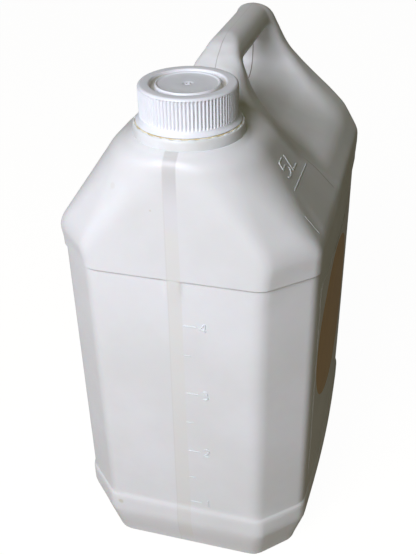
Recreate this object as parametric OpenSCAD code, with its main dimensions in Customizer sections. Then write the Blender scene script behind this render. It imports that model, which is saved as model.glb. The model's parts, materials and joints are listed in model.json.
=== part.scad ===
// Five litre blow-moulded jug with an offset pouring neck, a moulded-in handle and a screw cap.
// Millimetres. The origin is the middle of the footprint on the base plane, +Z up.
// The front wall, with the view stripe, faces -Y, and the jug mirrors itself across x = 0.

/* [Body] */
// Width across the side walls
body_w = 136.6; // [130:0.1:144]
// Depth from the front wall to the back wall
body_d = 190.7; // [186:0.1:196]
// Corner chamfer at the front, measured along the wall
front_chamfer = 22.8; // [18:0.1:28]
// Corner chamfer at the back, measured along the wall
rear_chamfer = 22.4; // [18:0.1:28]
// Thickness of the blown wall
wall = 1.2; // [0.8:0.1:2]
// How far the side walls bulge, from the upright band up to the head of the panels
side_crown = 3; // [0.5:0.1:4]
// How far the front and back panels bulge at mid height
front_crown = 1.6; // [0.5:0.1:3]

/* [Base and panels] */
// How far the walls are drawn in at the foot
base_inset = 6.3; // [4:0.1:9]
// Height of the lower edge of the upright band
band_z = 24.5; // [18:0.5:30]
// Height of the ledge below the recessed panels
ledge_z = 36.7; // [33:0.1:42]
// Depth of the recessed panels behind the band and the lip
panel_recess = 1.7; // [0.8:0.1:2.5]
// Height of the lip above the recessed panels
lip_z = 200.8; // [190:0.1:206]
// Depth of the pushed-up middle of the base
base_push = 3; // [1:0.5:6]
// Width of the standing rim around the pushed-up middle
base_rim = 12; // [8:1:20]

/* [Shoulders] */
// Height at which the side walls turn into the sloping shoulders
shoulder_z = 215.4; // [212:0.1:218]
// Slope of the front side shoulders above the horizontal, in degrees
shoulder_slope = 55.6; // [54:0.1:57]
// Slope of the corner shoulders above the horizontal, in degrees
corner_slope = 65.3; // [62:0.1:68]
// Slope of the rear side shoulders above the horizontal, in degrees
rear_slope = 51.3; // [50:0.1:53]
// Height of the flat top around the neck
crown_z = 265.5; // [263:0.1:268]

/* [Handle] */
// Height of the top of the handle bar
handle_top = 291.6; // [289:0.1:295]
// Width of the handle bar
bar_w = 20.2; // [18:0.1:23]
// Height of the handle bar, which is round above and flat beneath
bar_h = 14.6; // [13:0.1:17]
// Height of the floor of the finger space on the centre line
floor_z = 247.3; // [244:0.1:250]
// Drop of that floor for each millimetre away from the centre line
floor_fall = 0.25; // [0.22:0.01:0.3]
// Width of the front leg of the handle where it meets the floor of the finger space
leg_w = 46; // [42:0.5:50]
// Slope of the back of the finger space above the horizontal, in degrees
back_slope = 53; // [50:0.5:56]
// Distance from the back wall to the back of the finger hole
hole_back = 17.7; // [16:0.1:19]

/* [Neck] */
// Distance from the front wall back to the neck axis
neck_setback = 34.2; // [33:0.1:36]
// Radius of the root of the neck
root_r = 27.8; // [27.4:0.1:29]
// Height of the root above the flat top
root_h = 0.4; // [0.2:0.1:3]
// Radius of the collar inside the tamper ring
collar_r = 25; // [24.2:0.1:25.2]
// Height of the collar
collar_h = 2.9; // [1:0.1:3.5]
// Radius of the neck inside the cap
neck_r = 20.6; // [20:0.1:20.8]
// Height of the pouring rim above the root
rim_h = 18.3; // [16:0.1:20]
// Radius of the mouth
mouth_r = 18; // [16:0.1:18.4]

/* [Cap] */
// Radius over the grip ribs
cap_r = 23.3; // [22.9:0.1:23.6]
// Depth of the grooves between the ribs
rib_depth = 0.6; // [0.3:0.1:0.8]
// Number of grip ribs
ribs = 84; // [60:1:100]
// Height of the plain skirt under the ribs
skirt_h = 2.5; // [1.5:0.1:3.5]
// Radius of the foot of the flared skirt
skirt_r = 25.3; // [24:0.1:25.5]
// Height of the bevel above the ribs
bevel_h = 2.2; // [1.5:0.1:3.5]
// Thickness of the top plate
plate = 1.5; // [1.2:0.1:1.8]
// Outer radius of the ring groove in the top
groove_out = 18.7; // [18:0.1:19.5]
// Inner radius of the ring groove in the top
groove_in = 15.4; // [14:0.1:16]
// Depth of the ring groove
groove_depth = 2; // [1:0.1:2.4]
// Clearance between the cap and the neck
thread_gap = 0.25; // [0.15:0.05:0.4]
// Thickness of the sealing disc under the top plate
seal_t = 1.5; // [1:0.1:2]

/* [Tamper ring] */
// Outer radius of the ring
ring_r = 27.1; // [26.6:0.1:27.3]
// Height of the ring
ring_h = 5.35; // [4:0.05:6]
// Gap between the ring and the skirt of the cap
ring_gap = 0.5; // [0.3:0.1:0.8]
// Clearance between the ring and the collar
ring_play = 0.4; // [0.2:0.1:0.6]
// Number of snapped bridges on the ring
bridges = 28; // [12:1:36]
// Width of a bridge
bridge_w = 1.1; // [0.6:0.1:1.6]

/* [Label and filling] */
// Length of the side label along the wall
label_l = 124; // [110:1:126]
// Height of the lower edge of the side label
label_low = 50; // [44:1:80]
// Height of the upper edge of the side label
label_high = 186; // [180:1:188]
// Thickness of the label film
label_t = 0.2; // [0.1:0.05:0.3]
// Height of the lotion inside
fill_z = 229; // [205:1:234]

/* [Hidden] */
half_w = body_w/2;
half_d = body_d/2;
neck_y = -half_d + neck_setback;
// Heights up the neck and the cap, each standing on the one before, and how far the plain bands stop the ribs
face_gap = 0.05;
root_z = crown_z + root_h;
rim_z = root_z + rim_h;
seat_z = rim_z + seal_t + 2*face_gap;
cap_top = seat_z + plate + groove_depth;
ring_z = root_z + face_gap;
ring_top = ring_z + ring_h;
skirt_z = ring_top + ring_gap;
rib_low = skirt_z + skirt_h;
rib_high = cap_top - bevel_h;
cap_bore_r = neck_r + thread_gap;
rib_stop = 0.1;
// Clearances of the film and of the lotion from what they lie on
film_gap = 0.15;
fill_gap = 0.3;
// Reach of a cutting block, and a small overlap that joins neighbours
span = 300;
eps = 0.01;
// Steps along one edge of the plan outline and up a panel
edge_steps = 8;
panel_steps = 8;
// Handle: height of the bar's middle, and how far its knuckles lie from the neck and the back wall
bar_half = bar_w/2;
bar_z = handle_top - bar_half;
front_knuckle_y = neck_y + 62;
rear_knuckle_y = half_d - 19;
leg_y = neck_y + 54;
rear_start_y = neck_y + 45;
leg_foot_z = shoulder_z + 14;
// The sloping front wall of the finger space: a point on the centre line and its outward direction
scoop_front = [0, neck_y + 73.2, 268];
scoop_front_n = [1.4, 1, 1.43];
// The flare below the handle, from the shoulder up to the bar, as half widths and heights
flare = [[half_w + 14, shoulder_z - 1.4], [half_w - 6.3, shoulder_z + 12.6], [half_w - 16.8, shoulder_z + 22.6],
    [half_w - 24, shoulder_z + 28.1], [bar_half + 27.3, bar_z - 32.6], [bar_half + 20.3, bar_z - 26.6],
    [bar_half + 13.2, bar_z - 19.6], [bar_half + 7.5, bar_z - 13.6], [bar_half + 4, bar_z - 9.1],
    [bar_half + 1.4, bar_z - 3.6], [bar_half, bar_z]];

function unit(v) = v/norm(v);

// Corners of the plan outline, going round from the front left one, drawn in by o
function corners(o) =
    let (w = half_w - o, d = half_d - o, k = 2 - sqrt(2), a = front_chamfer - k*o, b = rear_chamfer - k*o)
    [[-w + a, -d], [w - a, -d], [w, -d + a], [w, d - b], [w - b, d], [-w + b, d], [-w, d - b], [-w, -d + a]];

// Plan outline drawn in by o, with its front and back bulged by f and its sides by s, along half sines
function outline(o, f, s) =
    let (c = corners(o), g = [f, 0, s, 0, f, 0, s, 0])
    [for (i = [0:7])
        let (a = c[i], b = c[(i + 1) % 8], e = unit(b - a), n = [e[1], -e[0]], m = i % 2 == 0 ? edge_steps : 1)
        for (j = [0:m - 1]) a + (b - a)*j/m + n*g[i]*sin(180*j/m)];

// Heights of the rings up a recessed panel, closer together at its ends
panel_low = ledge_z + panel_recess;
panel_high = lip_z - panel_recess;
function panel_height(i) = panel_low + (panel_high - panel_low)*(1 - cos(180*i/panel_steps))/2;
panel_heights = [for (i = [0:panel_steps]) panel_height(i)];

// Bulge of the front and back panels: none at their ends, all of it half way up
function front_bulge(z) = front_crown*pow(max(0, sin(180*(z - panel_low)/(panel_high - panel_low))), 0.6);

// Bulge of the side walls: a third of it at the foot, fading out again towards the shoulders
bulge_shares = [[0, 1/3], [band_z, 1], [panel_high - 30, 1], [lip_z, 0.5], [shoulder_z, 0]];
function side_bulge(z) = side_crown*lookup(z, bulge_shares);

// Rings up the shell below the shoulders: height and inset of each, and the bulge of its front and back
shell_rings = concat([[0, base_inset + 0.4, 0], [1.5, base_inset, 0], [band_z, 0, 0], [ledge_z, 0, 0]],
    [for (z = panel_heights) [z, panel_recess, front_bulge(z)]], [[lip_z, 0, 0], [shoulder_z + 1, 0, 0]]);

// Closed solid through rings that all have the same even number of points, lowest ring first
module loft(rings) {
    n = len(rings[0]);
    m = len(rings);
    polyhedron(
        points = [for (r = rings) each r],
        faces = concat(
            [for (b = [0, (m - 1)*n]) for (i = [0:n/2 - 2])
                let (q = [b + i, b + i + 1, b + n - 2 - i, b + n - 1 - i])
                each b == 0 ? [[q[0], q[1], q[2]], [q[0], q[2], q[3]]] : [[q[2], q[1], q[0]], [q[3], q[2], q[0]]]],
            [for (k = [0:m - 2]) for (i = [0:n - 1]) let (j = (i + 1) % n)
                each [[k*n + i, (k + 1)*n + i, (k + 1)*n + j], [k*n + i, (k + 1)*n + j, k*n + j]]]));
}

// Everything on the side of a plane that n points to, with the plane moved back by o
module beyond(n, q, o = 0) {
    u = unit(n);
    translate(q) rotate([0, acos(u[2]), atan2(u[1], u[0])])
        translate([-span, -span, -o]) cube([2*span, 2*span, 2*span]);
}

// The jug below the shoulders, drawn in by o, with its floor raised by o
module trunk(o) {
    loft([for (l = shell_rings)
        [for (p = outline(l[1] + o, l[2], side_bulge(l[0]))) [p[0], p[1], l[0] + o*max(0, 1 - l[0]/band_z)]]]);
}

// The pushed-up middle of the base, grown by o
module base_dish(o) {
    loft([for (l = [[-1, base_rim - 1], [base_push, base_rim + base_push]])
        [for (p = corners(base_inset + l[1] - o)) [p[0], p[1], l[0] + (l[0] > 0 ? o : 0)]]]);
}

// Upright column that bounds the shoulders, drawn in by o
module column(o) {
    translate([0, 0, lip_z + 2]) linear_extrude(handle_top - lip_z) polygon(corners(o));
}

// Everything behind the sloping front wall of the finger space on side s
module behind_leg(s, o) {
    beyond([s*scoop_front_n[0], scoop_front_n[1], scoop_front_n[2]], scoop_front, o);
}

// The front shoulders: two side slopes, two corner slopes and the flat top, drawn in by o
module front_shoulder(o) {
    difference() {
        column(o);
        for (s = [-1, 1]) {
            beyond([s*sin(shoulder_slope), 0, cos(shoulder_slope)], [s*half_w, 0, shoulder_z], o);
            beyond([s*0.663*sin(corner_slope), -0.748*sin(corner_slope), cos(corner_slope)],
                [s*(half_w - front_chamfer/2), -half_d + front_chamfer/2, shoulder_z + 3], o);
            behind_leg(s, o);
        }
        beyond([0, 0, 1], [0, 0, crown_z], o);
    }
}

// Half section of the flare, moved inwards by o
function flare_half(o) = [for (i = [0:len(flare) - 1])
    let (e = unit(flare[min(i + 1, len(flare) - 1)] - flare[max(i - 1, 0)])) flare[i] + o*[-e[1], e[0]]];
function both_sides(p) = concat(p, [for (i = [len(p) - 1:-1:0]) [-p[i][0], p[i][1]]]);

// The rear shoulders, flaring up into the back of the handle, drawn in by o
module rear_shoulder(o) {
    difference() {
        intersection() {
            column(o);
            translate([0, half_d, 0]) rotate([90, 0, 0]) linear_extrude(half_d - rear_start_y - o)
                polygon(concat([[half_w + 14, lip_z]], both_sides(flare_half(o)), [[-half_w - 14, lip_z]]));
        }
        for (s = [-1, 1]) {
            beyond([s*sin(rear_slope), 0, cos(rear_slope)], [s*half_w, 0, shoulder_z + 4.2], o);
            beyond([s, 1, 0.88], [s*(half_w - rear_chamfer/2), half_d - rear_chamfer/2, shoulder_z + 12], o);
            finger_space(s, o);
        }
        beyond([0, 1, 0.6], [0, half_d - 9, bar_z], o);
        beyond([0, -0.96, 1], [0, front_knuckle_y - bar_half, bar_z], o);
    }
}

// Free space around the fingers on side s, grown by o
module finger_space(s, o) {
    intersection() {
        behind_leg(s, o);
        beyond([s*floor_fall, 0, 1], [0, 0, floor_z], o);
        beyond([0, -sin(back_slope), cos(back_slope)], [0, half_d - hole_back - 7.7, floor_z + 2.2], o);
        beyond([0, -1, 0], [0, half_d - hole_back, 0], o);
    }
}

// Knuckle of the handle bar at y, drawn in by o
module knuckle(y, o) {
    translate([0, y, bar_z]) sphere(r = bar_half - o, $fn = 48);
}

// Handle bar and front leg, drawn in by o
module handle(o) {
    difference() {
        union() {
            translate([0, rear_knuckle_y, bar_z]) rotate([90, 0, 0])
                cylinder(r = bar_half - o, h = rear_knuckle_y - front_knuckle_y, $fn = 48);
            knuckle(rear_knuckle_y, o);
        }
        beyond([0, 0, -1], [0, 0, handle_top - bar_h], o);
    }
    hull() {
        knuckle(front_knuckle_y, o);
        translate([0, leg_y, leg_foot_z]) cylinder(r = leg_w/2 - o, h = floor_z - leg_foot_z, $fn = 48);
    }
}

// The whole jug without its neck, drawn in by o
module jug_form(o) {
    trunk(o);
    front_shoulder(o);
    rear_shoulder(o);
    handle(o);
}

// Neck: root, collar for the tamper ring, and the wall that the cap screws on to
module neck_outside() {
    translate([0, neck_y, 0]) rotate_extrude($fn = 120)
        polygon([[0, crown_z - 6], [root_r, crown_z - 6], [root_r, root_z], [collar_r, root_z],
            [collar_r, root_z + collar_h], [neck_r, root_z + collar_h + 1.5], [neck_r, rim_z], [0, rim_z]]);
}

module neck_inside() {
    translate([0, neck_y, 0]) rotate_extrude($fn = 120)
        polygon([[0, crown_z - 10], [root_r - 3, crown_z - 10], [root_r - 3, crown_z - 1],
            [mouth_r, root_z + collar_h - 1], [mouth_r, rim_z + 1], [0, rim_z + 1]]);
}

module jug_body() {
    color([0.93, 0.93, 0.92]) difference() {
        union() {
            jug_form(0);
            neck_outside();
        }
        base_dish(0);
        difference() {
            jug_form(wall);
            base_dish(wall);
        }
        neck_inside();
    }
}

// Outline of the grip ribs: square crests and grooves of equal width
function rib_outline() = [for (i = [0:ribs - 1]) for (c = [[0, 1], [0.4, 1], [0.55, 0], [0.85, 0]])
    let (a = 360*(i + c[0])/ribs, r = cap_r - rib_depth*(1 - c[1])) [r*cos(a), r*sin(a)]];

module screw_cap() {
    core_r = (cap_r - rib_depth + cap_bore_r)/2;
    color([0.95, 0.96, 0.98]) translate([0, neck_y, 0]) {
        rotate_extrude($fn = 120) polygon([
            [cap_bore_r + 1.5, skirt_z], [skirt_r, skirt_z], [skirt_r, skirt_z + 0.6], [cap_r + rib_stop, rib_low],
            [core_r, rib_low], [core_r, rib_high], [cap_r + rib_stop, rib_high], [cap_r - 0.6, cap_top - 0.7],
            [cap_r - 1.2, cap_top], [groove_out, cap_top], [groove_out - 0.5, cap_top - groove_depth],
            [groove_in + 0.4, cap_top - groove_depth], [groove_in, cap_top - 0.2],
            [groove_in - 0.8, cap_top - 0.2], [groove_in - 0.9, cap_top - 0.5], [0, cap_top - 0.5],
            [0, cap_top - 0.5 - plate], [groove_in - 2, cap_top - 0.5 - plate], [groove_in - 2, seat_z],
            [cap_bore_r, seat_z], [cap_bore_r, skirt_z + 2]]);
        translate([0, 0, rib_low]) linear_extrude(rib_high - rib_low) difference() {
            polygon(rib_outline());
            circle(r = (core_r + cap_bore_r)/2, $fn = 120);
        }
    }
}

module sealing_disc() {
    color([0.86, 0.88, 0.9]) translate([0, neck_y, rim_z + face_gap])
        cylinder(r = cap_bore_r - 0.15, h = seal_t, $fn = 96);
}

module tamper_ring() {
    inner = collar_r + ring_play;
    color([0.93, 0.94, 0.95]) translate([0, neck_y, 0]) {
        rotate_extrude($fn = 120) polygon([[inner, ring_z], [ring_r, ring_z], [ring_r, ring_top - 1],
            [ring_r - 0.4, ring_top], [inner + 0.3, ring_top]]);
        for (i = [0:bridges - 1]) rotate(360*(i + 0.5)/bridges)
            translate([inner + 0.35, -bridge_w/2, ring_top - eps]) cube([0.7, bridge_w, ring_gap - 0.1]);
    }
}

// Distance of the right-hand panel from x = 0 where it bulges by s, straight between the corners of the shell
function panel_x(y, s) =
    let (c = corners(panel_recess), a = c[2], b = c[3])
    lookup(y, [for (j = [0:edge_steps]) [a[1] + (b[1] - a[1])*j/edge_steps, a[0] + s*sin(180*j/edge_steps)]]);

// Bulge of the side panels between their rings, straight from ring to ring
function ring_bulge(z) = lookup(z, [for (h = panel_heights) [h, side_bulge(h)]]);

// Thin film on the right-hand panel, from its foot to its head, bending where the panel bends
module side_label() {
    c = corners(panel_recess);
    mid = (c[2][1] + c[3][1])/2;
    bends = [for (j = [0:edge_steps]) c[2][1] + (c[3][1] - c[2][1])*j/edge_steps];
    ys = concat([mid - label_l/2], [for (y = bends) if (abs(y - mid) < label_l/2 - 1) y], [mid + label_l/2]);
    bent = [for (z = panel_heights) if (z > label_low + 1 && z < label_high - 1) z];
    heights = concat([label_low], bent, [label_high]);
    color([0.88, 0.88, 0.86])
        loft([for (z = heights) let (s = ring_bulge(z))
            concat([for (y = ys) [panel_x(y, s) + film_gap + label_t, y, z]],
                [for (k = [len(ys) - 1:-1:0]) [panel_x(ys[k], s) + film_gap, ys[k], z]])]);
}

// The lotion, filling the jug up to its surface
module lotion() {
    color([0.95, 0.92, 0.83]) difference() {
        union() {
            trunk(wall + fill_gap);
            front_shoulder(wall + fill_gap);
            rear_shoulder(wall + fill_gap);
        }
        base_dish(wall + fill_gap);
        beyond([0, 0, 1], [0, 0, fill_z]);
    }
}

jug_body();
screw_cap();
sealing_disc();
tamper_ring();
side_label();
lotion();
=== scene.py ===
import json

import bpy
import numpy as np
from mathutils import Matrix, Vector

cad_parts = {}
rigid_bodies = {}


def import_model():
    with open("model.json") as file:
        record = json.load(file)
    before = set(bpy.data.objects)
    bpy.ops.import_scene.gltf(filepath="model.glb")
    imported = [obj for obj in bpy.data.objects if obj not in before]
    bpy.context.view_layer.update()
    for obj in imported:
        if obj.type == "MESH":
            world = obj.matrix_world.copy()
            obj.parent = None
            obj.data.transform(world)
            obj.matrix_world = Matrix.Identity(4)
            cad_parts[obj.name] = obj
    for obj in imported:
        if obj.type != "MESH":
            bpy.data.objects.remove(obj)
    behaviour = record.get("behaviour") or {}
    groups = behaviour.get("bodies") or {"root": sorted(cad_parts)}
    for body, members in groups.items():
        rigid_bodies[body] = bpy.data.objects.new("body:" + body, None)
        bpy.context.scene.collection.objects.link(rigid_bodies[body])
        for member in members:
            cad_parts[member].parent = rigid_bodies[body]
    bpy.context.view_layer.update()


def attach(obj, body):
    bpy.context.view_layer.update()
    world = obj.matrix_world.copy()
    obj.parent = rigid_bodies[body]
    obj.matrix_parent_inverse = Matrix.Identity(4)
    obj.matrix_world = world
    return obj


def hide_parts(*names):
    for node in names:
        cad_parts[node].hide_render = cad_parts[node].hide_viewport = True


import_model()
mm = 0.001
neckY = -61.2  # the axis of the neck, cap and ring, in millimetres


def smoothMin(a, b, k):
    # the lower of a and b, rounded over a width k where they meet
    h = np.maximum(k - np.abs(a - b), 0) / k
    return np.minimum(a, b) - h * h * k / 4


def smoothMax(a, b, k):
    return -smoothMin(-a, -b, k)


def planeField(p, normal, point):
    # signed distance from a plane, positive on the side the normal points to
    n = np.array(normal, float)
    n /= np.linalg.norm(n)
    return p[0] * n[0] + p[1] * n[1] + p[2] * n[2] - n @ np.array(point, float)


def addObject(name, points, faces, material, body, smooth=True):
    # points in millimetres, faces as an array of quads (or a list of arrays)
    mesh = bpy.data.meshes.new(name)
    groups = faces if isinstance(faces, list) else [faces]
    loops = np.concatenate([g.ravel() for g in groups]).astype(np.int32)
    sizes = np.concatenate([np.full(len(g), g.shape[1]) for g in groups])
    starts = np.concatenate([[0], np.cumsum(sizes)[:-1]]).astype(np.int32)
    mesh.vertices.add(len(points))
    mesh.vertices.foreach_set("co", (np.asarray(points, float) * mm).ravel())
    mesh.loops.add(len(loops))
    mesh.loops.foreach_set("vertex_index", loops)
    mesh.polygons.add(len(sizes))
    mesh.polygons.foreach_set("loop_start", starts)
    mesh.polygons.foreach_set("use_smooth", np.full(len(sizes), smooth))
    mesh.update(calc_edges=True)
    mesh.validate()
    mesh.materials.append(material)
    obj = bpy.data.objects.new(name, mesh)
    bpy.context.scene.collection.objects.link(obj)
    if body:
        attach(obj, body)
    return obj


def gridFaces(rows, cols, closeRows, closeCols, first=0):
    # quads over a grid of rows x cols points, wrapped round where asked
    i = np.arange(rows if closeRows else rows - 1)[:, None]
    j = np.arange(cols if closeCols else cols - 1)[None, :]
    i2, j2 = (i + 1) % rows, (j + 1) % cols
    quads = np.stack([i * cols + j, i2 * cols + j, i2 * cols + j2, i * cols + j2], -1)
    return quads.reshape(-1, 4) + first


def weld(points, faces, tolerance=1e-4):
    # merges points that lie on each other, such as a pole's, and drops faces that collapse
    key = np.round(points / tolerance).astype(np.int64)
    _, first, back = np.unique(key, axis=0, return_index=True, return_inverse=True)
    f = back.reshape(-1)[faces]
    keep = (f != np.roll(f, 1, axis=1)).all(1)
    quads, rest = f[keep], f[~keep]
    tris = []
    for c in range(4):
        same = rest[:, c] == rest[:, (c + 1) % 4]
        tris.append(rest[same][:, [k for k in range(4) if k != c]])
    tris = np.concatenate(tris)
    tris = tris[(tris != np.roll(tris, 1, axis=1)).all(1)]
    return points[first], [quads, np.unique(tris, axis=0)] if len(tris) else [quads]


def joinParts(parts):
    # several closed pieces as one mesh
    points, groups, first = [], [], 0
    for p, faces in parts:
        points.append(p)
        groups += [f + first for f in (faces if isinstance(faces, list) else [faces])]
        first += len(p)
    return np.concatenate(points), groups


def lathe(profile, steps, centre):
    # a closed profile of (radius, height) carried once round an upright axis
    a = np.linspace(0, 2 * np.pi, steps, endpoint=False)[:, None]
    r, z = profile[None, :, 0], profile[None, :, 1]
    p = np.stack([centre[0] + r * np.cos(a), centre[1] + r * np.sin(a), z + 0 * a], -1)
    return p.reshape(-1, 3), gridFaces(steps, profile.shape[0], True, True)


def netSurface(field, xs, ys, zs, rounds=4):
    # closed quad surface where the field is zero: one point in each grid cell that the surface
    # crosses, at the mean of the crossings on the cell's edges, then slid along the field's slope
    g = np.meshgrid(xs, ys, zs, indexing="ij")
    d = field(tuple(g))
    n = np.array(d.shape) - 1
    total = np.zeros((*n, 3))
    count = np.zeros(n)
    for axis in range(3):
        lo = [slice(None)] * 3
        hi = [slice(None)] * 3
        lo[axis], hi[axis] = slice(0, -1), slice(1, None)
        lo, hi = tuple(lo), tuple(hi)
        crossed = (d[lo] < 0) != (d[hi] < 0)
        t = np.where(crossed, d[lo] / np.where(crossed, d[lo] - d[hi], 1), 0)
        at = np.stack([c[lo] + t * (c[hi] - c[lo]) for c in g], -1)
        others = [k for k in range(3) if k != axis]
        for s0 in (0, 1):
            for s1 in (0, 1):
                cut = [slice(0, n[axis])] * 3
                cut[others[0]] = slice(s0, s0 + n[others[0]])
                cut[others[1]] = slice(s1, s1 + n[others[1]])
                cut = tuple(cut)
                total += at[cut] * crossed[cut][..., None]
                count += crossed[cut]
    active = count > 0
    index = np.full(n, -1, np.int64)
    index[active] = np.arange(active.sum())
    p = total[active] / count[active][:, None]
    cell = np.argwhere(active)
    low = np.stack([xs[cell[:, 0]], ys[cell[:, 1]], zs[cell[:, 2]]], -1)
    high = np.stack([xs[cell[:, 0] + 1], ys[cell[:, 1] + 1], zs[cell[:, 2] + 1]], -1)
    e = 0.05
    for _ in range(rounds):
        f = field(tuple(p.T))
        slope = np.stack([(field(tuple((p + e * u).T)) - field(tuple((p - e * u).T))) / (2 * e)
                          for u in np.eye(3)], -1)
        step = f / np.maximum((slope**2).sum(1), 0.1)
        p = np.clip(p - 0.9 * step[:, None] * slope, low, high)
    quads = []
    for axis in range(3):
        others = [k for k in range(3) if k != axis]
        lo = [slice(1, -1)] * 3
        hi = [slice(1, -1)] * 3
        lo[axis], hi[axis] = slice(0, -1), slice(1, None)
        a, b = d[tuple(lo)] < 0, d[tuple(hi)] < 0
        for inside, turn in ((a & ~b, 1), (~a & b, -1)):
            at = np.argwhere(inside)
            for k in others:
                at[:, k] += 1
            ring = []
            for s0, s1 in ((1, 1), (0, 1), (0, 0), (1, 0)):
                c = at.copy()
                c[:, others[0]] -= s0
                c[:, others[1]] -= s1
                ring.append(index[c[:, 0], c[:, 1], c[:, 2]])
            quad = np.stack(ring, -1)
            quads.append(quad if turn * (1 if axis != 1 else -1) > 0 else quad[:, ::-1])
    return p, np.concatenate(quads)


def gridLine(stops):
    # grid positions from (from, to, step) stretches, joined end to end
    line = [np.arange(a, b - 1e-6, s) for a, b, s in stops]
    return np.concatenate(line + [[stops[-1][1]]])


camera = dict(
    place=(0.10618, -0.40182, 0.41286),
    turn=15.9,
    dip=33.3,
    roll=-1.07,
    lens=51.58,
    shift=(-0.00486, 0.0088),
)


def addCamera():
    # turned about the vertical, dipped, then rolled about its own axis
    turn, dip, roll = np.radians([camera["turn"], camera["dip"], camera["roll"]])
    ahead = np.array([-np.sin(turn) * np.cos(dip), np.cos(turn) * np.cos(dip), -np.sin(dip)])
    right = np.array([np.cos(turn), np.sin(turn), 0])
    up = np.cross(right, ahead)
    right, up = right * np.cos(roll) + up * np.sin(roll), up * np.cos(roll) - right * np.sin(roll)
    data = bpy.data.cameras.new("camera")
    data.sensor_fit = "AUTO"
    data.sensor_width = 36
    data.lens = camera["lens"]
    data.shift_x, data.shift_y = camera["shift"]
    data.clip_start, data.clip_end = 0.01, 20
    obj = bpy.data.objects.new("camera", data)
    matrix = Matrix.Identity(4)
    for row in range(3):
        matrix[row][0], matrix[row][1], matrix[row][2] = right[row], up[row], -ahead[row]
        matrix[row][3] = camera["place"][row]
    obj.matrix_world = matrix
    bpy.context.scene.collection.objects.link(obj)
    bpy.context.scene.camera = obj


addCamera()
print("camera set")


class Shader:
    # a small helper that adds nodes to one material and links them by name
    def __init__(self, name):
        self.material = bpy.data.materials.new(name)
        self.material.use_nodes = True
        self.tree = self.material.node_tree
        self.main = self.tree.nodes["Principled BSDF"]
        self.coords = self.tree.nodes.new("ShaderNodeTexCoord").outputs["Object"]

    def link(self, a, b):
        self.tree.links.new(a, b)

    def node(self, kind, **values):
        made = self.tree.nodes.new("ShaderNode" + kind)
        for key, value in values.items():
            setattr(made, key, value)
        return made

    def put(self, socket, value):
        if hasattr(value, "links"):
            self.link(value, socket)
        else:
            socket.default_value = value

    def math(self, operation, a, b=0.0, c=0.0):
        made = self.node("Math", operation=operation)
        for socket, value in zip(made.inputs, (a, b, c)):
            self.put(socket, value)
        return made.outputs[0]

    def ramp(self, value, low, high, to=(0.0, 1.0), smooth=True):
        # value mapped from low..high to a new range and held there outside it
        made = self.node("MapRange", interpolation_type="SMOOTHSTEP" if smooth else "LINEAR")
        for socket, v in zip(made.inputs, (value, low, high, *to)):
            self.put(socket, v)
        return made.outputs[0]

    def times(self, value, *others):
        # the product of several values
        for other in others:
            value = self.math("MULTIPLY", value, other)
        return value

    def fromNeck(self, x, y):
        # distance from the axis of the neck
        flat = self.node("CombineXYZ")
        self.link(x, flat.inputs[0])
        self.link(y, flat.inputs[1])
        away = self.node("VectorMath", operation="DISTANCE")
        self.link(flat.outputs[0], away.inputs[0])
        away.inputs[1].default_value = (0, neckY * mm, 0)
        return away.outputs["Value"]

    def axes(self):
        made = self.node("SeparateXYZ")
        self.link(self.coords, made.inputs[0])
        return made.outputs

    def noise(self, scale, detail=3.0, roughness=0.5):
        made = self.node("TexNoise")
        self.link(self.coords, made.inputs["Vector"])
        made.inputs["Scale"].default_value = scale
        made.inputs["Detail"].default_value = detail
        made.inputs["Roughness"].default_value = roughness
        return made.outputs["Fac"]

    def mix(self, share, a, b):
        made = self.node("Mix", data_type="RGBA")
        self.put(made.inputs[0], share)
        self.put(made.inputs[6], a)
        self.put(made.inputs[7], b)
        return made.outputs[2]

    def spot(self, point, radius):
        # one near a point on the piece, none further off
        away = self.node("VectorMath", operation="DISTANCE")
        self.link(self.coords, away.inputs[0])
        away.inputs[1].default_value = [c * mm for c in point]
        return self.ramp(away.outputs["Value"], radius * mm, radius * mm * 0.4)

    def bump(self, height, strength, distance):
        made = self.node("Bump")
        made.inputs["Strength"].default_value = strength
        made.inputs["Distance"].default_value = distance
        self.link(height, made.inputs["Height"])
        self.link(made.outputs[0], self.main.inputs["Normal"])

    def finish(self, colour, rough, **more):
        self.put(self.main.inputs["Base Color"], colour)
        self.put(self.main.inputs["Roughness"], rough)
        for key, value in more.items():
            self.put(self.main.inputs[key.replace("_", " ")], value)
        return self.material


def colour(r, g, b):
    # a colour as it shows on a screen, 0 to 255, turned into the shader's linear values
    c = np.array([r, g, b]) / 255
    c = np.where(c <= 0.04045, c / 12.92, ((c + 0.055) / 1.055) ** 2.4)
    return (*c.tolist(), 1.0)


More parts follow.
